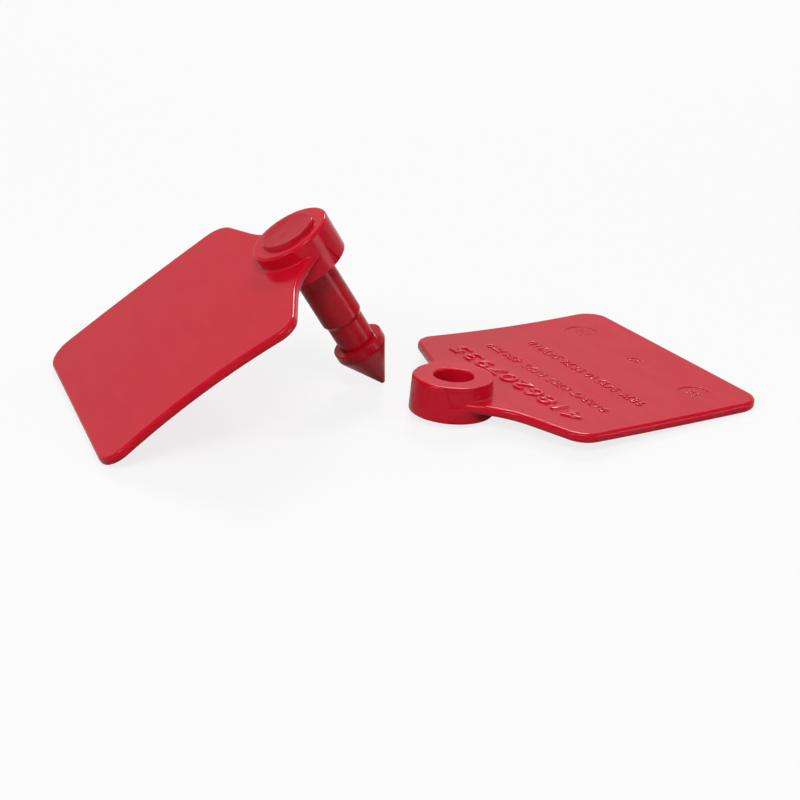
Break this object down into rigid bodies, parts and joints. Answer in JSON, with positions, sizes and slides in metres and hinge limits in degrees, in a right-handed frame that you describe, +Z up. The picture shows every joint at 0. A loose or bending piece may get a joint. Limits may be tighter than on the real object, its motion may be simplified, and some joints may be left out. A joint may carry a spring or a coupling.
{
  "type": "livestock ear tag",
  "caption": "Livestock ear tag: a flat panel with a barbed pin on its ring, and a matching panel whose ring is the socket that the pin snaps into through the ear.",
  "frame": {"origin": "on the table under the middle of the two halves' overall box", "axes": "+X to the right as pictured, from the pin panel to the socket panel; +Y away from the camera; +Z up from the table"},
  "size_m": [0.1035, 0.0586, 0.0276],
  "materials": {
    "panel_plastic": "red soft polyurethane, satin",
    "pin_plastic": "dark red hard polyurethane, glossy"
  },
  "bodies": {
    "root": {"male_panel": "panel_plastic", "pin": "pin_plastic", "female_panel": "panel_plastic"}
  },
  "joints": []
}
